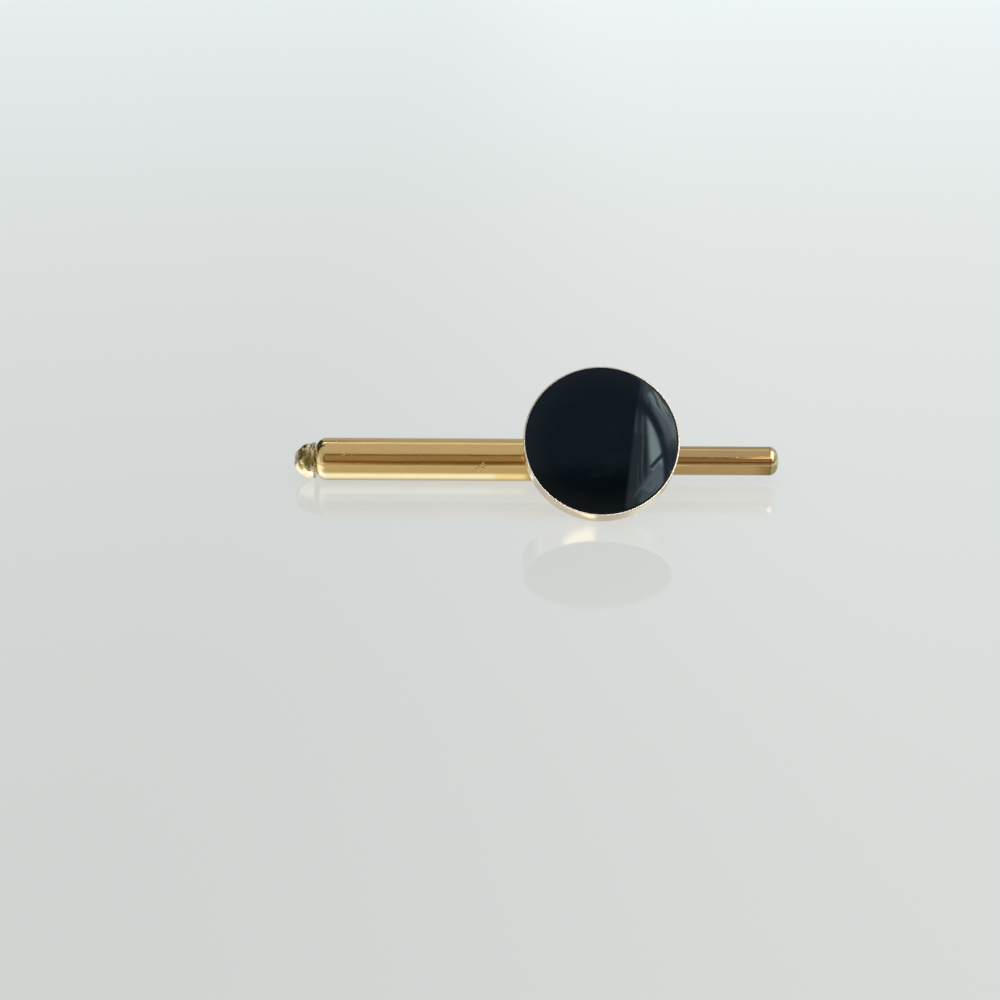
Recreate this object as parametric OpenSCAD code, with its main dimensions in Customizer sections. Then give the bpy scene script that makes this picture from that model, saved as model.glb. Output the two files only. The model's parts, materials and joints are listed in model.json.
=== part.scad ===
// Cufflink with a round black stone and a telescoping bar, in millimetres.
// It lies on a surface: the bar along X behind, the face leaning back on the cup's lower edge, towards -Y.
// The origin is on the surface, below the middle of the whole link.

/* [Face] */
// Diameter of the round black stone
stone_d = 15; // [12:0.5:18]
// Height of the stone's low dome above its edge
dome_h = 0.45; // [0.2:0.05:0.9]
// Width of the gold lip that shows round the stone
lip_w = 0.13; // [0.1:0.01:0.3]
// Height of the cup, from its back to the lip
cup_h = 2.35; // [1.8:0.05:3]
// Thickness of the cup's floor
cup_floor = 0.8; // [0.5:0.05:1]
// Radius of the rounded edge round the cup's back
cup_edge_r = 0.3; // [0.1:0.05:0.4]

/* [Post] */
// Diameter of the post between the cup and the bar
post_d = 3; // [2:0.1:3.6]
// Distance from the cup's back to the middle of the bar
post_reach = 7; // [6.8:0.1:8]
// Height of the post above the middle of the cup's back
post_rise = 0.75; // [0:0.05:1.2]
// Radius of the solder fillet where the post meets the cup
fillet_r = 0.4; // [0.2:0.05:0.6]

/* [Barrel] */
// Outer diameter of the barrel
barrel_d = 4.4; // [4:0.1:5]
// Length of barrel on the knob's side of the post
barrel_left = 28.95; // [26:0.05:32]
// Length of barrel on the rod's side of the post
barrel_right = 4.5; // [3:0.1:6]
// Radius of the rolled shoulder at the knob's end
shoulder_r = 1.1; // [0.6:0.05:1.2]
// Radius of the rounded mouth at the rod's end
mouth_r = 0.4; // [0.2:0.05:0.5]
// Thickness of the barrel's end wall at the knob's end
end_wall = 1.4; // [1.2:0.05:2]

/* [Sliding rod] */
// Diameter of the rod
rod_d = 3; // [2.6:0.1:3.2]
// Length of rod that stands out of the barrel at rest
rod_out = 14.25; // [13:0.05:16]
// Diameter of the rod's guide, the thicker end that runs inside the barrel
guide_d = 3.4; // [3.36:0.02:3.5]
// Length of the guide, which is flush with the barrel's mouth at rest
guide_l = 9; // [8:0.5:10]
// Radius of the rounded nose
nose_r = 0.9; // [0.4:0.05:1.2]
// Diameter of the thin stem between the rod and the knob
stem_d = 1.8; // [1.4:0.1:2]
// Clearance round the guide and the stem, on the radius
slide_gap = 0.03; // [0.02:0.01:0.06]

/* [Knob] */
// Largest diameter of the knob
knob_d = 3.7; // [3.4:0.1:4]
// Length of the knob
knob_l = 2.25; // [2.1:0.05:2.6]
// Distance by which the knob sits lower than the stem
knob_sag = 0.15; // [0:0.05:0.2]
// Radius of the edge round the knob's flat face
face_edge = 0.25; // [0.1:0.05:0.3]
// Depth of the hole that takes the stem
socket_l = 1.2; // [0.8:0.1:1.4]
// Gap between the knob and the barrel at rest
knob_gap = 0.06; // [0.04:0.01:0.2]

/* [Fit] */
// Gap between pieces that are set or pressed together
seat_gap = 0.02; // [0.01:0.01:0.05]

/* [Nick] */
// Distance of the nick in the barrel's front from the post, towards the knob
nick_x = 11.7; // [8:0.1:20]
// Height above the bar's middle at which the nick's two scratches meet
nick_top = 0.36; // [0.2:0.02:0.4]
// Length of the longer scratch, which runs down towards the knob
long_scratch = 0.95; // [0.6:0.05:1]
// Length of the shorter scratch, which runs down towards the rod
short_scratch = 0.44; // [0.3:0.02:0.6]
// Angle of each scratch to the barrel's length
scratch_slope = 36; // [25:1:45]
// Depth of the scratches
scratch_depth = 0.06; // [0.04:0.01:0.08]
// Length of the small pit under the scratches
pit_l = 0.32; // [0.2:0.02:0.4]
// Depth of the pit
pit_depth = 0.1; // [0.06:0.01:0.14]

/* [Hidden] */

$fn = 96;
dome_fn = 1440;
overlap = 0.5;

stone_r = stone_d / 2;
seat_r = stone_r + seat_gap;
cup_r = seat_r + lip_w;
lip_edge_r = lip_w * 0.42;
barrel_r = barrel_d / 2;
barrel_l = barrel_left + barrel_right;
rod_r = rod_d / 2;
guide_r = guide_d / 2;
guide_edge_r = 0.1;
stem_r = stem_d / 2;
knob_r = knob_d / 2;
bore_l = barrel_l - end_wall;

// The lean at which the cup's rounded back edge and the barrel both touch the surface
edge_to_bar = norm([cup_r - cup_edge_r + post_rise, post_reach + cup_edge_r]);
edge_turn = atan2(post_reach + cup_edge_r, cup_r - cup_edge_r + post_rise);
lean = acos((barrel_r - cup_edge_r) / edge_to_bar) - edge_turn;

// Middle of the cup's back, first as measured from the point below the back edge's round
edge_ring = cup_r - cup_edge_r;
back_z = cup_edge_r + edge_ring * cos(lean) - cup_edge_r * sin(lean);
back_y0 = edge_ring * sin(lean) + cup_edge_r * cos(lean);
bar_y0 = back_y0 + post_rise * sin(lean) + post_reach * cos(lean);
front_y0 = back_y0 - (cup_r - lip_edge_r) * sin(lean) - (cup_h - lip_edge_r) * cos(lean) - lip_edge_r;

// The origin below the middle of the whole link
middle_x = (barrel_right + rod_out - barrel_left - knob_gap - knob_l) / 2;
middle_y = (front_y0 + bar_y0 + barrel_r) / 2;
post_x = -middle_x;
back_y = back_y0 - middle_y;
bar_y = bar_y0 - middle_y;

// Flats that hammering has left on the knob. Columns: turn round the stem, tilt towards the tip,
// and distance from the bead's middle as a share of its radius
HAMMER_MARKS = [
    [10, 34, 0.86],
    [58, 12, 0.93],
    [70, 52, 0.88],
    [118, 28, 0.85],
    [160, 8, 0.94],
    [172, 46, 0.94],
    [226, 27, 0.88],
    [238, 3, 0.88],
    [238, 58, 0.9],
    [257, 8, 0.85],
    [274, 34, 0.89],
    [318, 22, 0.93],
    [345, 58, 0.94],
    [120, 80, 0.92]
];

// Places its children on the cup's back: Z out of the face, Y up the slope of the face
module on_cup() {
    translate([post_x, back_y, back_z]) rotate([90 - lean, 0, 0]) children();
}

// Places its children on the bar's axis, level with the post, with Z towards the rod
module on_bar() {
    translate([post_x, bar_y, barrel_r]) rotate([0, 90, 0]) children();
}

// Half outline of a round bar from z = 0 to its length, with its end corners rounded
module bar_outline(r, length, start_r, end_r) {
    translate([0, start_r]) square([r, length - start_r - end_r]);
    square([r - start_r, start_r + overlap]);
    translate([0, length - end_r - overlap]) square([r - end_r, end_r + overlap]);
    translate([r - start_r, start_r]) circle(start_r);
    translate([r - end_r, length - end_r]) circle(end_r);
}

module round_bar(r, length, start_r, end_r) {
    rotate_extrude() intersection() {
        square([r, length]);
        bar_outline(r, length, start_r, end_r);
    }
}

module cup_outside() {
    round_bar(cup_r, cup_h, cup_edge_r, lip_edge_r);
}

module stone_seat() {
    translate([0, 0, cup_floor]) cylinder(r = seat_r, h = cup_h);
}

module post() {
    translate([0, post_rise, -post_reach]) cylinder(r = post_d / 2, h = post_reach + cup_floor / 2);
}

// Ring of solder in the corner between the post and the cup's back
module solder_fillet() {
    corner_r = post_d / 2 + fillet_r;
    translate([0, post_rise, 0]) rotate_extrude() {
        difference() {
            translate([0, -fillet_r]) square([corner_r, fillet_r + cup_floor / 2]);
            translate([corner_r, -fillet_r]) circle(fillet_r);
        }
    }
}

module barrel_outside() {
    translate([0, 0, -barrel_left]) round_bar(barrel_r, barrel_l, shoulder_r, mouth_r);
}

module barrel_bores() {
    translate([0, 0, barrel_right - bore_l]) cylinder(r = guide_r + slide_gap, h = bore_l + overlap);
    translate([0, 0, -barrel_left - overlap]) cylinder(r = stem_r + slide_gap, h = end_wall + 2 * overlap);
}

// A square bar from z = 0 to its length that is sunk into the barrel's front by one edge
module groove(depth, length) {
    bar_w = depth * sqrt(2);
    translate([0, 0, length / 2]) rotate([0, 0, 45]) cube([bar_w, bar_w, length], center = true);
}

// Two scratches that meet in a point, and a pit under it
module nick() {
    translate([0, -barrel_r, -nick_x]) {
        translate([-nick_top, 0, 0]) rotate([0, 180 - scratch_slope, 0]) groove(scratch_depth, long_scratch);
        translate([-nick_top, 0, 0]) rotate([0, scratch_slope, 0]) groove(scratch_depth, short_scratch);
        translate([0, 0, -pit_l / 2]) groove(pit_depth, pit_l);
    }
}

module mounting() {
    color("goldenrod") difference() {
        union() {
            on_cup() {
                cup_outside();
                post();
                solder_fillet();
            }
            on_bar() barrel_outside();
        }
        on_cup() stone_seat();
        on_bar() barrel_bores();
        on_bar() nick();
    }
}

module onyx() {
    edge_h = cup_h - cup_floor - seat_gap - lip_edge_r;
    dome_r = (stone_r * stone_r + dome_h * dome_h) / (2 * dome_h);
    color([0.03, 0.04, 0.06]) on_cup() translate([0, 0, cup_floor + seat_gap]) rotate_extrude() {
        intersection() {
            square([stone_r, edge_h + dome_h]);
            translate([0, edge_h + dome_h - dome_r]) circle(dome_r, $fn = dome_fn);
        }
    }
}

module rod() {
    stem_l = barrel_l - guide_l + knob_gap + socket_l;
    color("darkgoldenrod") on_bar() {
        translate([0, 0, barrel_right - overlap]) round_bar(rod_r, rod_out + overlap, guide_edge_r, nose_r);
        translate([0, 0, barrel_right - guide_l]) round_bar(guide_r, guide_l, guide_edge_r, guide_edge_r);
        translate([0, 0, barrel_right - guide_l - stem_l]) cylinder(r = stem_r, h = stem_l + overlap);
    }
}

// The bead before it is hammered, from its flat face at z = 0 to its tip
module knob_bead() {
    face_r = knob_r - knob_sag - face_edge;
    translate([knob_sag, 0, 0]) rotate_extrude() intersection() {
        translate([0, knob_l - knob_r]) circle(knob_r);
        union() {
            translate([0, face_edge]) square([knob_r, knob_l]);
            square([face_r, knob_l]);
            translate([face_r, face_edge]) circle(face_edge);
        }
    }
}

module hammer_marks() {
    for (mark = HAMMER_MARKS) {
        translate([knob_sag, 0, knob_l - knob_r]) rotate([0, 90 - mark[1], mark[0]])
            translate([-knob_d, -knob_d, mark[2] * knob_r]) cube([2 * knob_d, 2 * knob_d, knob_d]);
    }
}

module end_knob() {
    color("gold") on_bar() translate([0, 0, -barrel_left - knob_gap]) mirror([0, 0, 1]) difference() {
        knob_bead();
        hammer_marks();
        translate([0, 0, -overlap]) cylinder(r = stem_r + seat_gap, h = socket_l + seat_gap + overlap);
    }
}

mounting();
onyx();
rod();
end_knob();
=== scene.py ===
# %% [markdown]
# # A cufflink with a black stone and a telescoping bar
# This lesson dresses a small piece of jewellery: a round black stone in a thin gold cup, and behind it a
# gold bar whose thin rod slides out of a thicker barrel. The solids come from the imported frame, which
# fixes every size and place, so here the work is looks: camera, light, polished metal, and two pieces
# modelled anew.

# %% Load the frame
import json
import math

import bmesh
import bpy
from mathutils import Matrix, Vector, noise


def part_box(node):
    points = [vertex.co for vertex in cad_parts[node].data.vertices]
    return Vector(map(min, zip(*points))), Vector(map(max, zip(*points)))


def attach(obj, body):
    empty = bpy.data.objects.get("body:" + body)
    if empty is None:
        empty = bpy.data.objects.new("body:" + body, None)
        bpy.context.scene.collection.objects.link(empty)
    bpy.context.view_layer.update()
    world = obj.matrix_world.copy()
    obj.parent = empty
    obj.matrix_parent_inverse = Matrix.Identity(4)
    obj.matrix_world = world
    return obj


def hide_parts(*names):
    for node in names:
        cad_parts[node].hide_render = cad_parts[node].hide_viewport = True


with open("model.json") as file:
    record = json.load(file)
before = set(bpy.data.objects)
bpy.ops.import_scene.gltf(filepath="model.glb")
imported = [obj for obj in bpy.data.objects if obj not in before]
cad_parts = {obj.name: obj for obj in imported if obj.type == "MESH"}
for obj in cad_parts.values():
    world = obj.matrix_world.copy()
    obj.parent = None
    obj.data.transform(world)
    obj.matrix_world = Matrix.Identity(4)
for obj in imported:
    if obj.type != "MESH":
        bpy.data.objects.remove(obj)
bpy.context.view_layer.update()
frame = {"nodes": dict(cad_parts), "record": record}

MM = 0.001
nodes = frame["nodes"]

# %% [markdown]
# ## Where things are
# The places of the pieces and of their edges are worked out from the frame. The rod is round, so the
# middle of its box gives the bar's axis, and because the barrel lies on the surface, the axis is as high
# as the barrel's radius. The record says how the post points, and the face looks the other way. The stone
# is a disc that leans back, so its box is taller than the disc's slope alone would make it, and the rest
# is the height of the stone's edge.

# %% Places taken from the frame
rod_low, rod_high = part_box("rod")
stone_low, stone_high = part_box("onyx")
knob_low, knob_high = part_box("end_knob")

bar_axis = (rod_low + rod_high) / 2
bar_start = Vector((0, bar_axis.y, bar_axis.z))
barrel_radius = bar_axis.z
mounts = {mount["name"]: mount for mount in frame["record"]["mounts"]}
face_normal = -Vector(mounts["cuff_post"]["axis"])
face_up = face_normal.cross(Vector((1, 0, 0)))

stone_radius = (stone_high.x - stone_low.x) / 2
stone_edge = (stone_high.z - stone_low.z - 2 * stone_radius * face_up.z) / face_normal.z
stone_foot = (stone_low + stone_high) / 2 - face_normal * stone_edge / 2
barrel_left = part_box("mounting")[0].x
barrel_mouth = Vector(mounts["rod_end"]["pos_m"]).x - mounts["rod_end"]["dims"]["length_mm"] * MM / 2
print("barrel radius mm:", round(barrel_radius / MM, 3), "up the face:", [round(c, 3) for c in face_up])
print("stone radius and edge mm:", round(stone_radius / MM, 3), round(stone_edge / MM, 3))

# %% [markdown]
# ## The camera
# A close picture of jewellery is taken from some distance with a long lens, so that the bar doesn't bulge
# towards the viewer. The camera here looks level along +Y, is then tipped down, and last turned a touch
# round its own line of sight, because hand-held pictures are seldom quite level. The lens is given as a
# focal length in pixels of the square picture.

# %% Make the camera
PICTURE_PX = 1000
FOCAL_PX = 1600
SENSOR_MM = 36
CAMERA_PLACE = Vector((-3.659, -149.11, 62.563)) * MM
CAMERA_DOWN = math.radians(22.815)
CAMERA_ROLL = math.radians(0.3)

camera_data = bpy.data.cameras.new("camera")
camera_data.sensor_width = SENSOR_MM
camera_data.lens = SENSOR_MM * FOCAL_PX / PICTURE_PX
camera_data.clip_start = 1 * MM
camera_data.clip_end = 10
camera = bpy.data.objects.new("camera", camera_data)
turned = Matrix.Rotation(math.pi / 2 - CAMERA_DOWN, 4, "X") @ Matrix.Rotation(CAMERA_ROLL, 4, "Z")
camera.matrix_world = Matrix.Translation(CAMERA_PLACE) @ turned
bpy.context.scene.collection.objects.link(camera)
bpy.context.scene.camera = camera
bpy.context.scene.view_settings.view_transform = "Standard"
print("lens mm:", camera_data.lens)

# %% [markdown]
# ## Helpers for node trees
# Materials and the light are node trees. A few short helpers keep them readable: one adds a node and
# fills its inputs, either with a value or with another node's output, and the others do arithmetic, mix
# colours, make soft steps, and build a reusable group.

# %% Helpers for nodes and arithmetic
def add_node(tree, kind, inputs=None, **settings):
    """Adds a shader node. Its inputs take plain values or the outputs of other nodes."""
    node = tree.nodes.new("ShaderNode" + kind)
    for name, value in settings.items():
        setattr(node, name, value)
    for name, value in (inputs or {}).items():
        if isinstance(value, bpy.types.NodeSocket):
            tree.links.new(value, node.inputs[name])
        else:
            node.inputs[name].default_value = value
    return node


def maths(tree, operation, *values, clamp=False):
    """Adds one arithmetic node and returns its output."""
    node = add_node(tree, "Math", dict(enumerate(values)), operation=operation, use_clamp=clamp)
    return node.outputs[0]


def vectors(tree, operation, *values):
    """Adds one vector arithmetic node. Dot products and lengths come out as numbers."""
    node = add_node(tree, "VectorMath", dict(enumerate(values)), operation=operation)
    return node.outputs["Value" if operation in ("DOT_PRODUCT", "LENGTH") else "Vector"]


def scaled(tree, vector, factor):
    """Multiplies a vector or colour by a number or by a node's output."""
    node = add_node(tree, "VectorMath", {0: vector, "Scale": factor}, operation="SCALE")
    return node.outputs["Vector"]


print("arithmetic ready")

# %% Helpers for colours and soft steps
def blend_colours(tree, share, first, second):
    """Mixes two colours and returns the result's output."""
    node = tree.nodes.new("ShaderNodeMix")
    node.data_type = "RGBA"
    for place, value in ((0, share), (6, first), (7, second)):
        if isinstance(value, bpy.types.NodeSocket):
            tree.links.new(value, node.inputs[place])
        elif place:
            node.inputs[place].default_value = (*value, 1)
        else:
            node.inputs[place].default_value = value
    return node.outputs[2]


def smooth_step(tree, value, start, end, low=0.0, high=1.0):
    """Goes softly from low at start to high at end."""
    levels = {"Value": value, "From Min": start, "From Max": end, "To Min": low, "To Max": high}
    return add_node(tree, "MapRange", levels, interpolation_type="SMOOTHSTEP").outputs[0]


print("colours and steps ready")

# %% Helpers for groups
def new_group(name, inputs, outputs):
    """Starts a shader group with named sockets and returns it with its two end nodes."""
    group = bpy.data.node_groups.new(name, "ShaderNodeTree")
    for way, sockets in (("INPUT", inputs), ("OUTPUT", outputs)):
        for socket_name, kind in sockets.items():
            group.interface.new_socket(socket_name, in_out=way, socket_type="NodeSocket" + kind)
    return group, group.nodes.new("NodeGroupInput").outputs, group.nodes.new("NodeGroupOutput").inputs


def use_group(tree, group, **inputs):
    """Places a group in a material and returns its outputs."""
    node = tree.nodes.new("ShaderNodeGroup")
    node.node_tree = group
    for name, value in inputs.items():
        if isinstance(value, bpy.types.NodeSocket):
            tree.links.new(value, node.inputs[name])
        else:
            node.inputs[name].default_value = value
    return node.outputs


print("groups ready")

# %% [markdown]
# ## The light round the object
# Polished metal has hardly any colour pattern of its own: what the eye reads as gold is a stretched
# picture of the room. A round bar shows that room as bands along its length, one for each height round
# the bar's line. So the light is painted as such bands: a dark one low in front, on the camera's side, a
# dim one above it, a thin dark gap, then a soft ceiling with one bright tube in it, and a dimmer wall
# behind. The world's Generated output is the direction that a ray looks in. Two angles name it here: how
# far it turns sideways, along the bar, and how far round the bar it points, from 0 level in front over 90
# straight up to 180 level behind.

# %% Bands of light round the bar's line
# Columns: degrees round the bar from the front, and the light's red, green and blue there
BANDS = [
    (0, 0.15, 0.105, 0.04),
    (10.5, 0.15, 0.105, 0.04),
    (14, 0.33, 0.25, 0.18),
    (37, 0.34, 0.26, 0.19),
    (41.5, 0.16, 0.115, 0.065),
    (46.5, 0.16, 0.115, 0.065),
    (50.5, 0.49, 0.5, 0.52),
    (78, 0.52, 0.54, 0.58),
    (110, 0.52, 0.54, 0.58),
    (114, 0.77, 0.84, 0.97),
    (122, 0.77, 0.84, 0.97),
    (128, 0.43, 0.46, 0.47),
    (180, 0.45, 0.5, 0.55),
]
# What the camera sees behind the floor
BACKDROP = (0.69, 0.71, 0.69)
# What the matt share of the floor gets from all round
EVEN_LIGHT = (0.66, 0.66, 0.64)
print("bands:", len(BANDS))

# %% [markdown]
# ## Things in the room
# The rounded ends, the stone and the knob look further to the sides than the bar does, and there they see
# single things: walls, a dark corner behind on the left with a lamp in it, and a window on the right.
# Each is a soft-edged oval or rectangle, given by the two angles of its middle, its half sizes and its
# tilt. The window is painted in layers, like a picture: a curtain with folds, the bright pane, the
# curtain over parts of it, its dimmer hem, some streaks of light, and at last a bar and a dark arch. Only
# glossy rays find this room. The camera sees a plain backdrop, and all other rays get an even light,
# which saves half of the rendering time and looks the same.

# %% Things in the room
# Columns: form, degrees sideways, degrees round the bar, half width, half height, tilt, softness, and light
ROOM = [
    ("pane", -50, 43, 33, 51, 0, 8, (0.5, 0.47, 0.36)),
    ("oval", -17, 20, 8, 19, 0, 5, (0.17, 0.12, 0.05)),
    ("pane", -75, 20, 14, 30, 0, 8, (0.8, 0.76, 0.66)),
    ("pane", 77, 60, 14, 120, 0, 6, (0.42, 0.42, 0.34)),
    ("oval", 38, 70, 13, 48, 0, 5, (1.35, 1.32, 1.15)),
    ("pane", -47, 146, 26, 49, 0, 3, (0.03, 0.03, 0.022)),
    ("oval", -82, 92, 6, 14, 0, 3, (0.04, 0.04, 0.03)),
    ("pane", -19, 103, 6, 6, 0, 2, (0.06, 0.055, 0.03)),
    ("pane", -15, 132, 9, 6, 0, 3, (0.05, 0.048, 0.035)),
    ("oval", -23, 120, 7, 10, 0, 4, (0.7, 0.7, 0.66)),
    ("oval", -12, 121, 3.5, 2.4, 0, 1.2, (6, 6, 5.8)),
]
print("things in the room:", len(ROOM))

# %% The window and what is in it
WINDOW = ("pane", 23.5, 73, 11.5, 34, -6, 0.9)
WINDOW_DARK = (1.3, 1.25, 1.15)
WINDOW_LIGHT = (3.7, 3.5, 3.1)
# Stripes: how many folds are in a degree, how fast stripes change along their length, and from which value of
# the noise to which they grow from nothing to full
FOLDS_PER_DEGREE = 1.1
STRIPE_STRETCH = 0.06
FOLD_EDGES = (0.38, 0.62)
STREAK_EDGES = (0.46, 0.6)
# The same columns as the room's, where no light means that the curtain shows
WINDOW_PARTS = [
    ("oval", 8, 46.2, 8.9, 18.4, 0, 0.3, (15, 13.6, 12)),
    ("pane", 17.6, 62.5, 3.6, 5.6, 31, 1.6, (5.6, 5.3, 4.9)),
    ("pane", 20.8, 44, 3.6, 10.5, 0, 3, (1.1, 1.1, 1.05)),
    ("pane", 3.4, 54, 10, 30, 4, 1.1, None),
    ("oval", 8, 71, 12, 9.5, 0, 1.2, None),
    ("pane", 13.9, 41.8, 6, 7, 0, 1, None),
    ("pane", 15.3, 46.8, 2, 3.4, -30, 1, (6.8, 6.4, 6)),
    ("pane", 9.8, 47, 1.2, 10, -6, 1.2, (1.55, 1.45, 1.3)),
]
# The same columns, and how many streaks there are in a degree
STREAKED_PARTS = [
    ("pane", 17.4, 62.5, 2.2, 5.6, 31, 0.8, (14, 12.6, 11), 2.8),
    ("pane", 13, 44, 2, 2.6, -35, 1, (4.6, 4.4, 4.2), 1.6),
]
# The dark bar and the arch lie over all of these
WINDOW_BARS = [
    ("pane", 15.1, 51.2, 0.4, 2.3, -38, 0.35, (1.6, 1.8, 2)),
    ("ring", 8, 46.4, 9.2, 18.8, 0, 1.1, (0.8, 0.9, 1)),
]
print("parts of the window:", len(WINDOW_PARTS) + len(STREAKED_PARTS) + len(WINDOW_BARS))

# %% The room's two angles
world = bpy.data.worlds.new("soft_room")
world.use_nodes = True
bpy.context.scene.world = world
sky = world.node_tree
sky.nodes.clear()

direction = add_node(sky, "TexCoord").outputs["Generated"]
parts = add_node(sky, "SeparateXYZ", {0: direction}).outputs
sideways = maths(sky, "DEGREES", maths(sky, "ARCSINE", parts["X"]))
back = maths(sky, "MULTIPLY", parts["Y"], -1.0)
round_bar = maths(sky, "DEGREES", maths(sky, "ARCTAN2", parts["Z"], back))
print("nodes for the angles:", len(sky.nodes))

# %% Helpers for the room
def from_middle_of(middle, height, tilt):
    """How far a direction lies across and up from a thing's middle, in degrees along its own tilted sides."""
    across = maths(sky, "SUBTRACT", sideways, middle)
    up = maths(sky, "SUBTRACT", round_bar, height)
    if tilt == 0:
        return across, up
    turn = math.radians(tilt)
    tilted_across = maths(sky, "MULTIPLY", across, math.cos(turn))
    tilted_up = maths(sky, "MULTIPLY", up, math.cos(turn))
    return (maths(sky, "MULTIPLY_ADD", up, math.sin(turn), tilted_across),
            maths(sky, "MULTIPLY_ADD", across, -math.sin(turn), tilted_up))


def shape_in_room(form, middle, height, half_width, half_height, tilt, softness):
    """The share, from 0 to 1, by which a direction lies in a soft-edged oval, ring or pane."""
    offsets = list(zip(from_middle_of(middle, height, tilt), (half_width, half_height)))
    if form != "pane":
        squares = [maths(sky, "POWER", maths(sky, "DIVIDE", along, half), 2.0) for along, half in offsets]
        reach = maths(sky, "SQRT", maths(sky, "ADD", *squares))
        edge = softness / min(half_width, half_height) / 2
        if form == "ring":
            from_line = maths(sky, "ABSOLUTE", maths(sky, "SUBTRACT", reach, 1.0))
            return smooth_step(sky, from_line, 2 * edge, edge / 2)
        return smooth_step(sky, reach, 1 + edge, 1 - edge)
    shares = [smooth_step(sky, maths(sky, "ABSOLUTE", along), half + softness / 2, half - softness / 2)
              for along, half in offsets]
    return maths(sky, "MULTIPLY", *shares)


def stripes(across, along, per_degree, edges):
    """Uneven stripes, from 0 to 1, that run along a direction. Higher edges make them thinner."""
    slow = maths(sky, "MULTIPLY", along, STRIPE_STRETCH)
    stretched = add_node(sky, "CombineXYZ", {0: across, 1: slow}).outputs[0]
    uneven = add_node(sky, "TexNoise", {"Vector": stretched, "Scale": per_degree, "Detail": 2.0})
    return smooth_step(sky, uneven.outputs["Fac"], *edges)


print("room helpers ready")

# %% Paint the room
HALF_TURN = 180
bands = add_node(sky, "ValToRGB", {0: maths(sky, "DIVIDE", round_bar, HALF_TURN)})
while len(bands.color_ramp.elements) < len(BANDS):
    bands.color_ramp.elements.new(1)
for element, (degrees, *light) in zip(bands.color_ramp.elements, BANDS):
    element.position = degrees / HALF_TURN
    element.color = (*light, 1)

room = bands.outputs["Color"]
for *shape, light in ROOM:
    room = blend_colours(sky, shape_in_room(*shape), room, light)

folds = stripes(sideways, round_bar, FOLDS_PER_DEGREE, FOLD_EDGES)
curtain = blend_colours(sky, folds, WINDOW_DARK, WINDOW_LIGHT)
window = curtain
for *shape, light in WINDOW_PARTS:
    window = blend_colours(sky, shape_in_room(*shape), window, light or curtain)
for *shape, light, per_degree in STREAKED_PARTS:
    middle, height, tilt = shape[1], shape[2], shape[5]
    streaks = stripes(*from_middle_of(middle, height, tilt), per_degree, STREAK_EDGES)
    window = blend_colours(sky, maths(sky, "MULTIPLY", shape_in_room(*shape), streaks), window, light)
for *shape, light in WINDOW_BARS:
    window = blend_colours(sky, shape_in_room(*shape), window, light)
room = blend_colours(sky, shape_in_room(*WINDOW), room, window)

ray = add_node(sky, "LightPath").outputs
plain = blend_colours(sky, ray["Is Camera Ray"], EVEN_LIGHT, BACKDROP)
plain = add_node(sky, "Background", {"Color": plain}).outputs[0]
mirrored_room = add_node(sky, "Background", {"Color": room}).outputs[0]
chosen = add_node(sky, "MixShader", {0: ray["Is Glossy Ray"], 1: plain, 2: mirrored_room})
add_node(sky, "OutputWorld", {"Surface": chosen.outputs[0]})
# The shiny metal finds the room by its own reflections, so no rays are sent to look for light
world.cycles.sampling_method = "NONE"
print("nodes in the room:", len(sky.nodes))

# %% [markdown]
# ## The floor
# The link lies on a pale, smooth surface that glows a little by itself, a bit more on the window's side.
# So its underside isn't black, and there is a faint mirror image below it. Light gathers in such a
# surface under a shiny thing. Only the metal shows that: as one bright line low along the barrel, and as
# pools by the knob, under the cup and at the cup's edge. So the floor gets two shaders. The one that is
# seen glows evenly, and the other, for glossy rays alone, has those pools and the shadow of the camera's
# side some way in front.

# %% The floor
FLOOR_HALF = 1.5
FLOOR_COLOUR = (0.19, 0.19, 0.185)
FLOOR_DARK = (0.1, 0.08, 0.04)
FLOOR_LIGHT = (0.97, 1.01, 0.985)
FLOOR_ROUGHNESS = 0.06
FLOOR_IOR = 1.49
GLOW_LEFT = 0.505
GLOW_RIGHT = 0.565
GLOW_TURNS_OVER = 35 * MM
MIRRORED_GLOW = 0.41
SHADOW_DEPTH = 0.32
# The line of light along the barrel turns warmer before it ends behind the cup
line_turn = stone_foot.x - stone_radius - 3 * MM
line_end = stone_foot.x - stone_radius + 0.3 * MM
# Columns: start and end along X, start and end before the bar's axis, softness, and the light that is added
FLOOR_GLOWS = [
    (barrel_left - 1 * MM, line_turn, 1.35 * MM, 2.75 * MM, 1 * MM, (0.52, 0.82, 1.42)),
    (line_turn, line_end, 1.35 * MM, 2.75 * MM, 1 * MM, (0.5, 0.6, 0.62)),
    (barrel_left - 7 * MM, barrel_left - 0.5 * MM, -1 * MM, 7 * MM, 3 * MM, (0.66, 0.62, 0.64)),
    (stone_foot.x - 5.8 * MM, stone_foot.x - 0.8 * MM, 11.4 * MM, 12.9 * MM, 1.2 * MM, (2.2, 2.1, 1.5)),
    (stone_foot.x + 2.5 * MM, stone_foot.x + 10 * MM, 6.5 * MM, 10.5 * MM, 2 * MM, (0.22, 0.28, 0.25)),
    (stone_foot.x - 8.5 * MM, stone_foot.x + 2.5 * MM, 7.5 * MM, 11.1 * MM, 1 * MM, (0.08, 0.06, 0.04)),
    (rod_high.x - 1.5 * MM, rod_high.x + 6 * MM, -1 * MM, 6 * MM, 2 * MM, (-0.22, -0.2, -0.22)),
]
# The same first five columns
FLOOR_SHADOW = (-24 * MM, 33 * MM, 18.5 * MM, 500 * MM, 11 * MM)
print("glows on the floor:", len(FLOOR_GLOWS))

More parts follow.
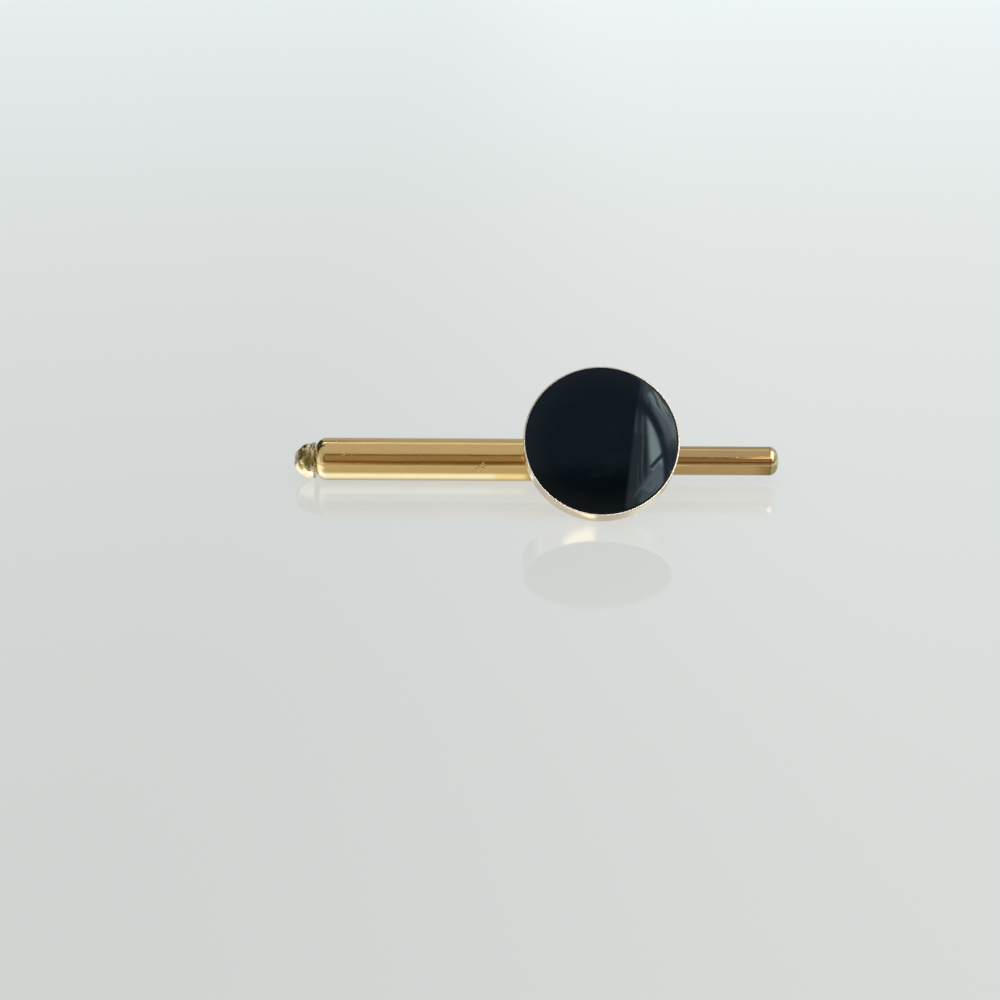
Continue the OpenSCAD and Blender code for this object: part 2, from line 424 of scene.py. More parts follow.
# %% Make the floor
floor_mesh = bpy.data.meshes.new("floor")
shape = bmesh.new()
bmesh.ops.create_grid(shape, x_segments=1, y_segments=1, size=FLOOR_HALF)
shape.to_mesh(floor_mesh)
shape.free()
floor = bpy.data.objects.new("floor", floor_mesh)
bpy.context.scene.collection.objects.link(floor)

print("floor half width mm:", FLOOR_HALF / MM)

# %% The floor's material
pale = bpy.data.materials.new("pale_surface")
pale.use_nodes = True
# The floor only glows. It is no lamp that rays have to look for
pale.cycles.emission_sampling = "NONE"
tree = pale.node_tree
floor_place = add_node(tree, "TexCoord").outputs["Object"]
place = add_node(tree, "SeparateXYZ", {0: floor_place}).outputs
before_bar = maths(tree, "SUBTRACT", bar_axis.y, place["Y"])


def patch_of_floor(start_x, end_x, start_before, end_before, softness):
    """The share, from 0 to 1, by which a place on the floor lies in a soft-edged rectangle."""
    half_soft = softness / 2
    share = 1.0
    for value, start, end in ((place["X"], start_x, end_x), (before_bar, start_before, end_before)):
        after_start = smooth_step(tree, value, start - half_soft, start + half_soft)
        before_end = smooth_step(tree, value, end + half_soft, end - half_soft)
        share = maths(tree, "MULTIPLY", share, maths(tree, "MULTIPLY", after_start, before_end))
    return share


def glowing_shader(colour, glow):
    """A smooth shader with a colour and a glow of its own."""
    look = {"Base Color": colour, "Roughness": FLOOR_ROUGHNESS, "IOR": FLOOR_IOR,
            "Emission Color": glow, "Emission Strength": 1.0}
    return add_node(tree, "BsdfPrincipled", look).outputs[0]


shadow = patch_of_floor(*FLOOR_SHADOW)
pools = scaled(tree, FLOOR_LIGHT, maths(tree, "MULTIPLY_ADD", shadow, -SHADOW_DEPTH, MIRRORED_GLOW))
for *patch, light in FLOOR_GLOWS:
    pools = vectors(tree, "ADD", pools, scaled(tree, light, patch_of_floor(*patch)))
even = smooth_step(tree, place["X"], -GLOW_TURNS_OVER, GLOW_TURNS_OVER, GLOW_LEFT, GLOW_RIGHT)
seen = glowing_shader((*FLOOR_COLOUR, 1), scaled(tree, FLOOR_LIGHT, even))
mirrored = glowing_shader(blend_colours(tree, shadow, FLOOR_COLOUR, FLOOR_DARK), pools)
glossy = add_node(tree, "LightPath").outputs["Is Glossy Ray"]
chosen = add_node(tree, "MixShader", {0: glossy, 1: seen, 2: mirrored})
tree.links.new(chosen.outputs[0], tree.nodes["Material Output"].inputs["Surface"])
tree.nodes.remove(tree.nodes["Principled BSDF"])
floor_mesh.materials.append(pale)
print("nodes in the floor's material:", len(tree.nodes))

# %% [markdown]
# ## Shared surface effects
# A tube that is drawn through a die keeps very fine lines along its length, even after polishing. Wear
# adds short scratches, fingertips leave smudges, and small knocks leave specks. Each effect is a group
# that several materials use with their own strengths. All of them read the place on the object, in
# millimetres, so they need no unwrapping and have no seam at the back of a round bar.

# %% Lines from drawing
# Each EDGES pair says where an effect starts and where it is full, here as values of the noise
LINE_STRETCH = (0.05, 1, 1)
LINE_EDGES = (0.3, 0.7)

sockets = {"Place": "Vector", "Fineness": "Float"}
drawn_lines, inputs, outputs = new_group("drawn_lines", sockets, {"Lines": "Float"})
along_bar = vectors(drawn_lines, "MULTIPLY", inputs["Place"], LINE_STRETCH)
grain = add_node(drawn_lines, "TexNoise", {"Vector": along_bar, "Scale": inputs["Fineness"],
                                           "Detail": 4.0, "Roughness": 0.65}).outputs["Fac"]
drawn_lines.links.new(smooth_step(drawn_lines, grain, *LINE_EDGES), outputs["Lines"])
print("group:", drawn_lines.name)

# %% Short scratches
# Columns: turns about X, Y and Z in degrees, and the share of the scratches that show
SCRATCH_LAYERS = [
    (10, 20, 35, 0.35),
    (-30, 5, -62, 0.3),
    (65, -40, 8, 0.4),
]
SCRATCH_STRETCH = (0.3, 4.5, 4.5)
# Distances from the middle of a scratch's cell
SCRATCH_EDGES = (0.12, 0.04)

sockets = {"Place": "Vector", "Amount": "Float"}
scratches, inputs, outputs = new_group("scratches", sockets, {"Scratches": "Float"})
total = 0.0
for *turns, share in SCRATCH_LAYERS:
    rotation = [math.radians(turn) for turn in turns]
    rotated = add_node(scratches, "Mapping", {"Vector": inputs["Place"], "Rotation": rotation}).outputs[0]
    stretched = vectors(scratches, "MULTIPLY", rotated, SCRATCH_STRETCH)
    cells = add_node(scratches, "TexVoronoi", {"Vector": stretched, "Scale": 1.0}).outputs
    chance = add_node(scratches, "SeparateColor", {0: cells["Color"]}).outputs[0]
    present = maths(scratches, "LESS_THAN", chance, maths(scratches, "MULTIPLY", inputs["Amount"], share))
    mark = maths(scratches, "MULTIPLY", smooth_step(scratches, cells["Distance"], *SCRATCH_EDGES), present)
    total = maths(scratches, "MAXIMUM", total, mark)
scratches.links.new(total, outputs["Scratches"])
print("group:", scratches.name)

# %% Smudges and specks
SMUDGE_EDGES = (0.38, 0.68)
# Distances from a speck's middle, and the share of the places that have a speck
SPECK_EDGES = (0.13, 0.07)
SPECK_SHARE = 0.16

sockets = {"Smudges": "Float", "Specks": "Float"}
smudges, inputs, outputs = new_group("smudges", {"Place": "Vector"}, sockets)
film = add_node(smudges, "TexNoise", {"Vector": inputs["Place"], "Scale": 0.45, "Detail": 5.0,
                                      "Distortion": 0.6}).outputs["Fac"]
smudges.links.new(smooth_step(smudges, film, *SMUDGE_EDGES), outputs["Smudges"])
grains = add_node(smudges, "TexVoronoi", {"Vector": inputs["Place"], "Scale": 2.2}).outputs
chance = add_node(smudges, "SeparateColor", {0: grains["Color"]}).outputs[1]
rare = maths(smudges, "LESS_THAN", chance, SPECK_SHARE)
specks = maths(smudges, "MULTIPLY", smooth_step(smudges, grains["Distance"], *SPECK_EDGES), rare)
smudges.links.new(specks, outputs["Specks"])
print("group:", smudges.name)

# %% [markdown]
# ## Places on the metal
# Patterns that follow the bar or the cup need their own measures. On the bar these are the distance along
# it and the arc round it. In the cup they are the height above the stone's seat and the distance from its
# middle.

# %% Places on the metal
def place_in_mm(tree, origin):
    """Object coordinates, in millimetres from a point of the frame."""
    here = vectors(tree, "SUBTRACT", add_node(tree, "TexCoord").outputs["Object"], origin)
    return scaled(tree, here, 1 / MM)


def cup_measures(tree):
    """Height above the stone's seat, distance from the cup's middle and height up the face, in mm."""
    here = place_in_mm(tree, stone_foot)
    height = vectors(tree, "DOT_PRODUCT", here, face_normal)
    flat = vectors(tree, "SUBTRACT", here, scaled(tree, face_normal, height))
    return height, vectors(tree, "LENGTH", flat), vectors(tree, "DOT_PRODUCT", flat, face_up)


def bar_measures(tree, here):
    """Distance along the bar, and arc round the barrel from its front, in millimetres."""
    parts = add_node(tree, "SeparateXYZ", {0: here}).outputs
    turn = maths(tree, "ARCTAN2", parts["Z"], maths(tree, "MULTIPLY", parts["Y"], -1.0))
    return parts["X"], maths(tree, "MULTIPLY", turn, barrel_radius / MM)


def stroke(tree, spot, start, end, width):
    """How much a place on the barrel lies on a scratch, which is full within a third of its width."""
    run = Vector((*end, 0)) - Vector((*start, 0))
    from_start = vectors(tree, "SUBTRACT", spot, (*start, 0))
    share = vectors(tree, "DOT_PRODUCT", from_start, run / run.length_squared)
    nearest = scaled(tree, run, maths(tree, "ADD", share, 0.0, clamp=True))
    off = vectors(tree, "LENGTH", vectors(tree, "SUBTRACT", from_start, nearest))
    return smooth_step(tree, off, width, width / 3)


print("measures ready")

# %% [markdown]
# ## Polished gold plate
# The cup, the post and the barrel are one soldered piece of brass with gold over it. The barrel has kept
# its colour. Plating wears first where the piece is touched and rubbed, so the cup and the barrel's
# rolled end have gone pale, and dirt has stayed in the corners that no cloth reaches: round the post and
# in the mouth of the barrel. The thin lip round the stone carries painted light: a painted highlight low
# down, and painted shade at the top. The nick in the barrel's front has raised, torn edges, and a
# hairline runs near the knob; both are painted bright, as painted highlights. Wear is a mixture of colours
# and of roughness here. The lines and scratches are only thousandths of a millimetre deep, so they are a
# bump and not geometry.

# %% Colours of the gold
GOLD = (0.93, 0.64, 0.26)
RED_GOLD = (0.88, 0.56, 0.22)
PALE_GOLD = (0.92, 0.78, 0.63)
WORN_GOLD = (0.88, 0.77, 0.47)
# The lip's painted light: a painted highlight low down, and painted shade at the top
LIP_HIGHLIGHT_GOLD = (1.0, 0.93, 0.8)
LIP_SHADED_GOLD = (0.6, 0.55, 0.46)
# A painted highlight for the bright strokes of the burrs
GLINT_GOLD = (1.0, 0.92, 0.75)
# Dirt, and also the painted shade of the ring behind the rod's nose
GRIME_AND_SHADE = (0.16, 0.1, 0.045)
RELIEF = 0.004 * MM
print("relief mm:", RELIEF / MM)

# %% Helpers for metals
def plated_metal(name):
    """Starts a metal material and returns it with its tree and shader."""
    material = bpy.data.materials.new(name)
    material.use_nodes = True
    shader = material.node_tree.nodes["Principled BSDF"]
    shader.inputs["Metallic"].default_value = 1
    return material, material.node_tree, shader


def add_relief(tree, shader, height, distance):
    """Turns a height between 0 and 1 into relief of a real depth."""
    bump = add_node(tree, "Bump", {"Height": height, "Strength": 1.0, "Distance": distance})
    tree.links.new(bump.outputs["Normal"], shader.inputs["Normal"])


def lay_colours(tree, colour, layers):
    """Lays colours over a first one, each as far as its mask and its share say."""
    for mask, share, over in layers:
        colour = blend_colours(tree, maths(tree, "MULTIPLY", mask, share), colour, over)
    return colour


def add_up(tree, value, amounts):
    """Adds to a value each mask times its amount."""
    for mask, amount in amounts:
        value = maths(tree, "MULTIPLY_ADD", mask, amount, value)
    return value


def coat(node, material):
    """Gives a node of the frame its material."""
    for place in nodes[node].material_slots:
        place.material = material


print("metal helpers ready")

# %% Where the gold plate is worn, torn or dirty, and where light and shade are painted on it
# Each EDGES pair says where an effect starts and where it is full, in mm. Height above the stone's seat:
CUP_BACK = -0.82
CUP_EDGES = (CUP_BACK - 0.15, CUP_BACK + 0.05)
LIP_EDGES = (stone_edge / MM - 0.06, stone_edge / MM - 0.01)
# Height up the face, and how much of the lip gets its painted highlight at the top and at the bottom
LIP_HIGHLIGHT_EDGES = (3, -3, 0.1, 0.9)
# Distance along the bar
BARREL_END_EDGES = (barrel_left / MM + 1.6, barrel_left / MM + 0.2)
MOUTH_EDGES = (barrel_mouth / MM - 0.12, barrel_mouth / MM + 0.02)
# The dirt round the post: its height, the distances from that height, and those from the cup's middle
DIRT_HEIGHT = CUP_BACK - 0.25
DIRT_EDGES = (0.3, 0.05)
DIRT_OUTER_EDGES = (2.9, 2.3)
# Raised burrs on the nick and a hairline near the knob, painted bright as painted highlights
# Columns: start and end of each stroke as distance along the bar and arc round it, and its width
BURRS_AND_GLINTS = [
    (-5.42, 0.46, -6.2, -0.1, 0.06),
    (-5.42, 0.46, -5.12, 0.22, 0.05),
    (-5.42, 0.46, -5.3, 0.6, 0.035),
    (-5.85, -0.45, -5.8, -0.42, 0.05),
    (-5.1, -0.4, -5.05, -0.42, 0.05),
    (-19.9, 1.2, -19.5, 1.24, 0.025),
]
print("burrs:", len(BURRS_AND_GLINTS))

# %% Masks for the gold plate
gold, tree, shader = plated_metal("gold_plate")
here = place_in_mm(tree, bar_start)
lines = use_group(tree, drawn_lines, Place=here, Fineness=6.0)["Lines"]
scratch = use_group(tree, scratches, Place=here, Amount=1.0)["Scratches"]
film = use_group(tree, smudges, Place=here)
distance, arc = bar_measures(tree, here)
spot = add_node(tree, "CombineXYZ", {0: distance, 1: arc}).outputs[0]
burr_and_glint = 0.0
for start_x, start_arc, end_x, end_arc, width in BURRS_AND_GLINTS:
    burr_and_glint = maths(tree, "MAXIMUM", burr_and_glint, stroke(tree, spot, (start_x, start_arc), (end_x, end_arc), width))
height, from_middle, up_face = cup_measures(tree)
cup = smooth_step(tree, height, *CUP_EDGES)
lip = smooth_step(tree, height, *LIP_EDGES)
# Painted highlight on the lower lip, fading out towards the top
lip_highlight = maths(tree, "MULTIPLY", lip, smooth_step(tree, up_face, *LIP_HIGHLIGHT_EDGES))
barrel_end = smooth_step(tree, distance, *BARREL_END_EDGES)
bare = maths(tree, "MAXIMUM", cup, barrel_end)
off_dirt = maths(tree, "ABSOLUTE", maths(tree, "SUBTRACT", height, DIRT_HEIGHT))
round_post = smooth_step(tree, from_middle, *DIRT_OUTER_EDGES)
round_post = maths(tree, "MULTIPLY", round_post, smooth_step(tree, off_dirt, *DIRT_EDGES))
mouth = smooth_step(tree, distance, *MOUTH_EDGES)
mouth = maths(tree, "MULTIPLY", mouth, maths(tree, "SUBTRACT", 1.0, cup))
dirt = maths(tree, "MAXIMUM", round_post, mouth)
print("nodes for the masks:", len(tree.nodes))

# %% The gold plate's look
# Columns: where, how strongly, and the colour that is laid over those before
GOLD_LAYERS = [
    (film["Smudges"], 0.35, RED_GOLD),
    (lines, 0.4, RED_GOLD),
    (barrel_end, 0.8, WORN_GOLD),
    (cup, 1.0, PALE_GOLD),
    (scratch, 0.35, PALE_GOLD),
    (dirt, 0.75, GRIME_AND_SHADE),
    (film["Specks"], 0.4, GRIME_AND_SHADE),
    # The burrs are painted bright, as painted highlights
    (burr_and_glint, 0.8, GLINT_GOLD),
    # The lip: painted shade all round, then a painted highlight low down
    (lip, 0.9, LIP_SHADED_GOLD),
    (lip_highlight, 1.0, LIP_HIGHLIGHT_GOLD),
]
# Columns: where, and how much it adds to the smoothest metal's roughness
GOLD_SMOOTHEST = 0.07
GOLD_ROUGHNESS = [
    (lines, 0.05),
    (film["Smudges"], 0.06),
    (bare, 0.06),
    (scratch, 0.14),
    (dirt, 0.4),
    (burr_and_glint, 0.35),
    (lip_highlight, 0.2),
    (film["Specks"], 0.2),
]
# Columns: where, and how high it stands as a share of the relief
GOLD_RELIEF = [(lines, 0.28), (scratch, -0.3), (film["Specks"], -0.5), (burr_and_glint, 0.8)]

tree.links.new(lay_colours(tree, GOLD, GOLD_LAYERS), shader.inputs["Base Color"])
tree.links.new(add_up(tree, GOLD_SMOOTHEST, GOLD_ROUGHNESS), shader.inputs["Roughness"])
add_relief(tree, shader, add_up(tree, 0.0, GOLD_RELIEF), RELIEF)
coat("mounting", gold)
print("layers on the gold:", len(GOLD_LAYERS))

# %% [markdown]
# ## The rod
# The rod slides through the barrel's mouth thousands of times, so its plating is duller and its lines are
# stronger. Its round nose, which goes through the cuff first, is rubbed bright, with a fine ring of
# painted shade behind.

# %% Where the rod is worn or dirty
ROD_GOLD = (0.76, 0.5, 0.225)
ROD_RED = (0.66, 0.39, 0.16)
ROD_SMOOTHEST = 0.03
# In mm: where the nose starts along the bar, and the half width of the ring of painted shade there
NOSE_START = rod_high.x / MM - 0.92
NOSE_EDGES = (NOSE_START, NOSE_START + 0.25)
NOSE_SHADE_EDGES = (0.14, 0.04)

rod_gold, tree, shader = plated_metal("rod_gold")
here = place_in_mm(tree, bar_start)
lines = use_group(tree, drawn_lines, Place=here, Fineness=5.0)["Lines"]
scratch = use_group(tree, scratches, Place=here, Amount=1.3)["Scratches"]
film = use_group(tree, smudges, Place=here)
distance = bar_measures(tree, here)[0]
nose = smooth_step(tree, distance, *NOSE_EDGES)
# A fine ring of painted shade where the nose starts
off_shade_ring = maths(tree, "ABSOLUTE", maths(tree, "SUBTRACT", distance, NOSE_START))
ring = smooth_step(tree, off_shade_ring, *NOSE_SHADE_EDGES)
print("nose starts at mm:", round(NOSE_START, 2))

# %% The rod's look
# The same columns as the gold plate's
ROD_LAYERS = [
    (lines, 0.3, ROD_RED),
    (film["Smudges"], 0.25, ROD_RED),
    (nose, 0.8, WORN_GOLD),
    (scratch, 0.3, PALE_GOLD),
    # Painted shade where the nose starts
    (ring, 0.35, GRIME_AND_SHADE),
    (film["Specks"], 0.5, GRIME_AND_SHADE),
]
ROD_ROUGHNESS = [(lines, 0.03), (film["Smudges"], 0.02), (scratch, 0.1), (film["Specks"], 0.2)]
ROD_RELIEF = [(lines, 0.08), (scratch, -0.25), (film["Specks"], -0.5)]

tree.links.new(lay_colours(tree, ROD_GOLD, ROD_LAYERS), shader.inputs["Base Color"])
tree.links.new(add_up(tree, ROD_SMOOTHEST, ROD_ROUGHNESS), shader.inputs["Roughness"])
add_relief(tree, shader, add_up(tree, 0.0, ROD_RELIEF), RELIEF)
coat("rod", rod_gold)
print("layers on the rod:", len(ROD_LAYERS))

# %% [markdown]
# ## The stone
# The face is a disc of black onyx with a very low dome. A dome this low is a small cap of a large sphere,
# and facets in it would show at once as a broken reflection, so it is made anew as a finely spun shape:
# one point is spun about the dome's centre into an arc, the edge and the underside are extruded from it,
# and the whole outline is spun round the stone's axis. Its two sharp corners get a tiny bevel, as a
# cutter would grind them.

# %% Measures and a helper for new pieces
DOME_HEIGHT = 0.45 * MM
DOME_STEPS = 40
STONE_STEPS = 256
GIRDLE_BEVEL = 0.05 * MM
GIRDLE_SEGMENTS = 3
SHARP_CORNER = math.radians(40)
MERGE_WITHIN = MM / 1e5

dome_radius = (stone_radius ** 2 + DOME_HEIGHT ** 2) / (2 * DOME_HEIGHT)
dome_turn = math.asin(stone_radius / dome_radius)
onto_face = Matrix((Vector((1, 0, 0)), face_up, face_normal)).transposed().to_4x4()
onto_face.translation = stone_foot


def finish_piece(name, shape, material, body, slot, *replaced):
    """Turns a bmesh into a smooth-shaded piece with its material and body. The slot is not used."""
    bmesh.ops.remove_doubles(shape, verts=shape.verts, dist=MERGE_WITHIN)
    bmesh.ops.recalc_face_normals(shape, faces=shape.faces)
    for face in shape.faces:
        face.smooth = True
    mesh = bpy.data.meshes.new(name)
    shape.to_mesh(mesh)
    shape.free()
    mesh.materials.append(material)
    piece = bpy.data.objects.new(name, mesh)
    bpy.context.scene.collection.objects.link(piece)
    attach(piece, body)
    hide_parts(*replaced)
    print(name, "faces:", len(mesh.polygons))


print("dome radius mm:", round(dome_radius / MM, 1))

# %% The stone
onyx = bpy.data.materials.new("black_onyx")
shape = bmesh.new()
top = shape.verts.new((0, 0, stone_edge + DOME_HEIGHT))
bmesh.ops.spin(shape, geom=[top], cent=(0, 0, stone_edge + DOME_HEIGHT - dome_radius), axis=(0, 1, 0),
               angle=dome_turn, steps=DOME_STEPS, use_merge=False)
rim = max(shape.verts, key=lambda vert: vert.co.x)
for step in ((0, 0, -stone_edge), (-stone_radius, 0, 0)):
    added = bmesh.ops.extrude_vert_indiv(shape, verts=[rim])["verts"]
    bmesh.ops.translate(shape, verts=added, vec=step)
    rim = added[0]
bmesh.ops.spin(shape, geom=shape.verts[:] + shape.edges[:], cent=(0, 0, 0), axis=(0, 0, 1), angle=2 * math.pi,
               steps=STONE_STEPS, use_merge=True)
bmesh.ops.remove_doubles(shape, verts=shape.verts, dist=MERGE_WITHIN)
corners = [edge for edge in shape.edges
           if len(edge.link_faces) == 2 and edge.calc_face_angle() > SHARP_CORNER]
bmesh.ops.bevel(shape, geom=corners, offset=GIRDLE_BEVEL, segments=GIRDLE_SEGMENTS, affect="EDGES",
                profile=0.5, material=-1)
bmesh.ops.transform(shape, matrix=onto_face, verts=shape.verts)
finish_piece("polished_stone", shape, onyx, "link", "black_stone", "onyx")

# %% [markdown]
# ## Black onyx
# Polished onyx is almost pure black and mirror smooth, so all that shows on it is the room, and seen
# face-on at less than a fiftieth of its brightness. What keeps it from looking like a hole is wear: a
# film of fingerprints that dulls the mirror here and there, a slightly dusty rim, hairlines, and a few
# grains of dust.

# %% Black onyx
ONYX_BLACK = (0.0005, 0.0032, 0.0064)
ONYX_TINT = (0.6, 0.85, 1.0)
ONYX_IOR = 1.53
ONYX_SPECULAR = 0.2
ONYX_SMOOTHEST = 0.01
DUST = (0.05, 0.052, 0.055)
HAZE_EDGES = (0.45, 0.75)
# Distances from the stone's middle in mm
DUSTY_RIM_EDGES = (stone_radius / MM - 2.6, stone_radius / MM)

onyx.use_nodes = True
tree = onyx.node_tree
shader = tree.nodes["Principled BSDF"]
shader.inputs["IOR"].default_value = ONYX_IOR
shader.inputs["Specular IOR Level"].default_value = ONYX_SPECULAR
shader.inputs["Specular Tint"].default_value = (*ONYX_TINT, 1)
here = place_in_mm(tree, stone_foot)
film = use_group(tree, smudges, Place=here)
scratch = use_group(tree, scratches, Place=here, Amount=0.7)["Scratches"]
haze = add_node(tree, "TexNoise", {"Vector": here, "Scale": 0.22, "Detail": 4.0, "Distortion": 1.2})
haze = smooth_step(tree, haze.outputs["Fac"], *HAZE_EDGES)
dusty_rim = smooth_step(tree, cup_measures(tree)[1], *DUSTY_RIM_EDGES)

# The same columns as the gold plate's
ONYX_LAYERS = [
    (haze, 0.06, DUST),
    (dusty_rim, 0.12, DUST),
    (scratch, 0.12, DUST),
    (film["Specks"], 0.3, DUST),
]
ONYX_ROUGHNESS = [(haze, 0.03), (film["Smudges"], 0.02), (scratch, 0.12), (film["Specks"], 0.3)]
tree.links.new(lay_colours(tree, ONYX_BLACK, ONYX_LAYERS), shader.inputs["Base Color"])
tree.links.new(add_up(tree, ONYX_SMOOTHEST, ONYX_ROUGHNESS), shader.inputs["Roughness"])
print("layers on the onyx:", len(ONYX_LAYERS))

# %% [markdown]
# ## The hammered knob
# The small knob on the stem's end is rough: a bead that was hammered over the stem, with flats all round,
# a mushroomed rim at its face and pits between the blows. A modifier would give all of it one even noise,
# so the bead is worked as at the bench. It starts as a sphere that is cut off at its flat face, gets a
# rounded corner and the hole for the stem, and then each blow flattens what stands beyond a plane. Last
# come a rim, a fold behind it and one near the tip, and small lumps. The rim and the folds waver, and are
# strongest above. How deep each point lies is kept in an attribute, for the dirt.

# %% The knob's blows
# The turn is round the stem, from straight down towards the back, and the tilt is towards the tip.
# Columns: turn and tilt in degrees, and the distance from the bead's middle as a share of its radius
HAMMER_MARKS = [
    (10, 34, 0.86),
    (58, 12, 0.93),
    (70, 52, 0.88),
    (118, 28, 0.85),
    (160, 8, 0.94),
    (172, 46, 0.94),
    (226, 27, 0.88),
    (238, 3, 0.88),
    (238, 58, 0.9),
    (257, 8, 0.85),
    (274, 34, 0.89),
    (318, 22, 0.93),
    (345, 58, 0.94),
    (120, 80, 0.92),
]
print("blows:", len(HAMMER_MARKS))

# %% The bead before the blows
KNOB_RADIUS = 1.85 * MM
KNOB_STEPS = 176
KNOB_CORNER = 0.2 * MM
CORNER_SEGMENTS = 5
KNOB_FACE_TO_MIDDLE = 0.4 * MM
HOLE_RADIUS = 0.92 * MM
SOCKET_DEPTH = 1.22 * MM

knob_middle = Vector((knob_high.x - KNOB_FACE_TO_MIDDLE, bar_axis.y, (knob_low.z + knob_high.z) / 2))
shape = bmesh.new()
pole_along_bar = Matrix.Translation(knob_middle) @ Matrix.Rotation(math.pi / 2, 4, "Y")
bmesh.ops.create_uvsphere(shape, u_segments=KNOB_STEPS, v_segments=KNOB_STEPS // 2, radius=KNOB_RADIUS,
                          matrix=pole_along_bar)
cut = bmesh.ops.bisect_plane(shape, geom=shape.verts[:] + shape.edges[:] + shape.faces[:],
                             plane_co=knob_high, plane_no=(1, 0, 0), clear_outer=True)
rim_edges = [edge for edge in cut["geom_cut"] if isinstance(edge, bmesh.types.BMEdge)]
flat_face = bmesh.ops.contextual_create(shape, geom=rim_edges)["faces"][0]
bmesh.ops.bevel(shape, geom=flat_face.edges[:], offset=KNOB_CORNER, segments=CORNER_SEGMENTS,
                affect="EDGES", profile=0.5, material=-1)
flat_face = max(shape.faces, key=lambda face: face.calc_area())
face_radius = max((vert.co.yz - knob_middle.yz).length for vert in flat_face.verts)
# The bead's middle is a little off the stem's line, and the hole stays on that line
bmesh.ops.inset_region(shape, faces=[flat_face], thickness=face_radius - HOLE_RADIUS)
bmesh.ops.translate(shape, verts=flat_face.verts[:], vec=(0, 0, bar_axis.z - knob_middle.z))
deeper = bmesh.ops.extrude_discrete_faces(shape, faces=[flat_face])["faces"][0]
bmesh.ops.translate(shape, verts=deeper.verts[:], vec=(-SOCKET_DEPTH, 0, 0))
print("knob's face radius mm:", round(face_radius / MM, 2))
print("knob's middle mm:", [round(c / MM, 2) for c in knob_middle])

# %% Measures of the rim, the folds and the lumps
BLOW_SOFTNESS = 0.035 * MM
# Places are distances from the flat face
RIM_PLACE = 0.22 * MM
RIM_WIDTH = 0.12 * MM
RIM_HEIGHT = 0.07 * MM
# How sharply rim and folds change from below to above, where that change lies round the stem in radians, and
# the share of its height that the rim keeps below
ABOVE_FADE = 3
ABOVE_TURN = 0.2
RIM_BELOW = 0.3
FOLD_PLACE = 0.52 * MM
FOLD_DEPTH = 0.05 * MM
NECK_PLACE = 1.58 * MM
NECK_DEPTH = 0.07 * MM
# Columns: height of the waver in mm, waves in a turn, and where they start in radians
WAVERS = [(0.07, 3, 1), (0.04, 7, 0)]
# Columns: size of the lumps in mm, and how far they stand out in mm
LUMPS = [(0.9, 0.05), (0.4, 0.03), (0.17, 0.012)]
# Points nearer to the middle than this share of the radius belong to the socket, and stay as they are
SOCKET_SHARE = 0.85
# How far below the round bead a hollow of 1 lies, and what the bottom of a fold adds to it
HOLLOW_DEPTH = 0.1 * KNOB_RADIUS
FOLD_HOLLOW = 0.7
print("sizes of lumps:", len(LUMPS))

# %% Helpers for the hammering
def bell(value, middle, width):
    """A smooth hill of height 1."""
    return math.exp(-((value - middle) / width) ** 2)


def blow_direction(turn, tilt):
    """The way a hammer mark faces."""
    turn, tilt = math.radians(turn), math.radians(tilt)
    return Vector((-math.sin(tilt), math.cos(tilt) * math.sin(turn), -math.cos(tilt) * math.cos(turn)))


def share_above(round_stem):
    """Goes from 0 below the stem to 1 above it."""
    return (1 + math.tanh(ABOVE_FADE * math.sin(round_stem - ABOVE_TURN))) / 2


print("the first blow faces:", [round(c, 2) for c in blow_direction(*HAMMER_MARKS[0][:2])])

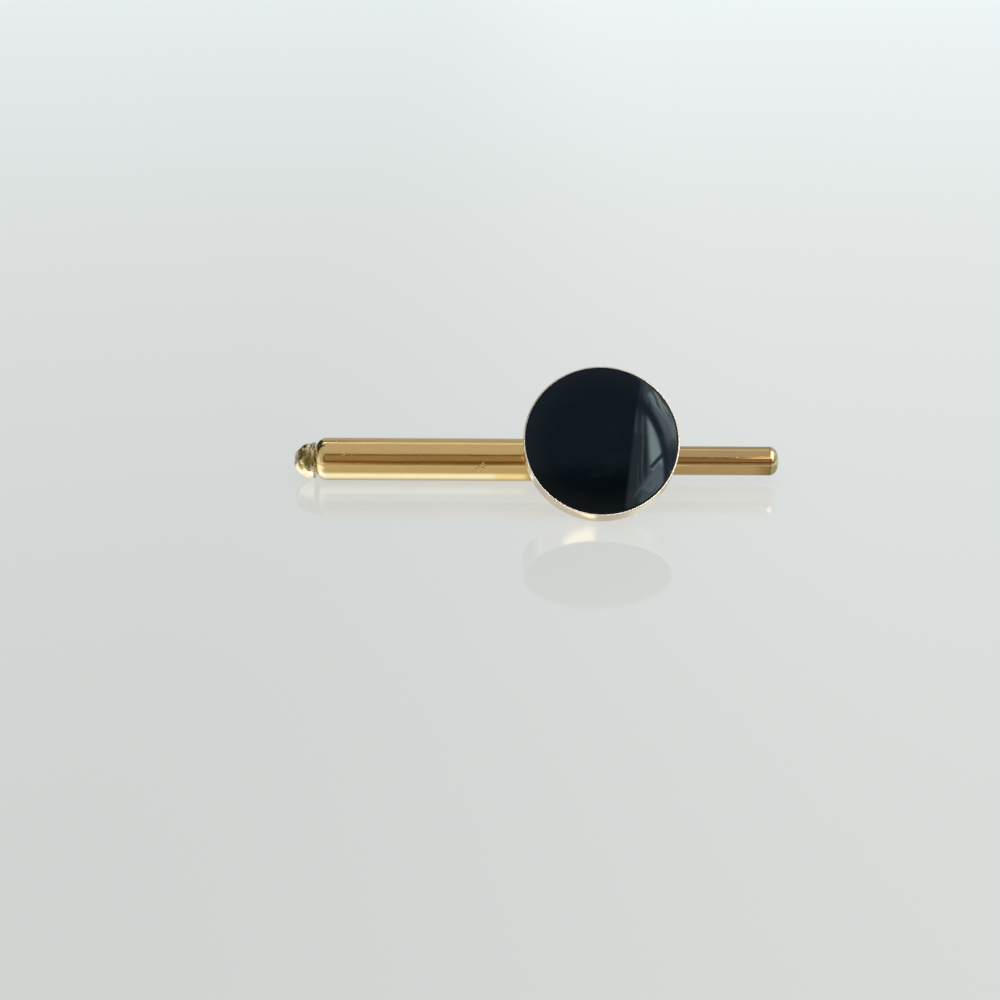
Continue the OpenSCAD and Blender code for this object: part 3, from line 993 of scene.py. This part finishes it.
# %% The knob, hammered
hollow = shape.verts.layers.float.new("hollow")
for vert in shape.verts:
    out = vert.co - knob_middle
    if out.length < SOCKET_SHARE * KNOB_RADIUS:
        continue
    smooth_length = out.length
    for turn, tilt, share in HAMMER_MARKS:
        way = blow_direction(turn, tilt)
        proud = out.dot(way) - share * KNOB_RADIUS
        out -= way * (proud + math.hypot(proud, BLOW_SOFTNESS)) / 2
    from_face = knob_high.x - vert.co.x
    round_stem = math.atan2(out.z, -out.y)
    waver = sum(height * MM * math.sin(waves * round_stem + start) for height, waves, start in WAVERS)
    above = share_above(round_stem)
    rim = bell(from_face, RIM_PLACE + waver, RIM_WIDTH) * RIM_HEIGHT * (RIM_BELOW + (1 - RIM_BELOW) * above)
    fold = bell(from_face, FOLD_PLACE + waver, RIM_WIDTH) * FOLD_DEPTH * above
    fold += bell(from_face, NECK_PLACE + waver, RIM_WIDTH) * NECK_DEPTH * above
    lumps = sum(height * MM * noise.noise(out / (size * MM)) for size, height in LUMPS)
    away = Vector((0, out.y, out.z)).normalized()
    toward_tip = min(1, from_face / RIM_PLACE)
    out += away * (rim - fold) * toward_tip + out.normalized() * lumps * toward_tip
    vert.co = knob_middle + out
    vert[hollow] = (smooth_length - out.length) / HOLLOW_DEPTH + FOLD_HOLLOW * fold / FOLD_DEPTH
# The lumps mustn't make the knob longer than the frame's
for vert in shape.verts:
    vert.co.x = min(max(vert.co.x, knob_low.x), knob_high.x)

hammered_gold, tree, shader = plated_metal("hammered_gold")
finish_piece("hammered_knob", shape, hammered_gold, "plunger", "hammered_gold", "end_knob")

# %% [markdown]
# ## Hammered gold
# On the knob the plating is thin and rubbed to a pale, silvery gold on the high places, while the hollows
# are dark with old polish and dirt. The attribute that was kept during the hammering drives both,
# together with a fine noise for pits.

# %% Hammered gold
KNOB_GOLD = (0.93, 0.82, 0.53)
KNOB_HOLLOW = (0.27, 0.21, 0.07)
SCRATCHES_FINER = 2.0
KNOB_SMOOTHEST = 0.13
KNOB_RELIEF = 0.03 * MM
PITS_IN_HOLLOWS = 0.9
DEEP_EDGES = (0.95, 1.75)

here = place_in_mm(tree, knob_middle)
depth = add_node(tree, "Attribute", attribute_name="hollow").outputs["Fac"]
scratch = use_group(tree, scratches, Place=scaled(tree, here, SCRATCHES_FINER), Amount=1.6)["Scratches"]
pits = add_node(tree, "TexNoise", {"Vector": here, "Scale": 4.5, "Detail": 4.0, "Roughness": 0.6})
pits = pits.outputs["Fac"]
deep = smooth_step(tree, maths(tree, "MULTIPLY_ADD", pits, PITS_IN_HOLLOWS, depth), *DEEP_EDGES)

# The same columns as the gold plate's
KNOB_LAYERS = [(deep, 1.0, KNOB_HOLLOW), (scratch, 0.4, PALE_GOLD)]
KNOB_ROUGHNESS = [(deep, 0.3), (scratch, 0.12)]
tree.links.new(lay_colours(tree, KNOB_GOLD, KNOB_LAYERS), shader.inputs["Base Color"])
tree.links.new(add_up(tree, KNOB_SMOOTHEST, KNOB_ROUGHNESS), shader.inputs["Roughness"])
add_relief(tree, shader, add_up(tree, pits, [(scratch, -0.1)]), KNOB_RELIEF)
print("layers on the knob:", len(KNOB_LAYERS))
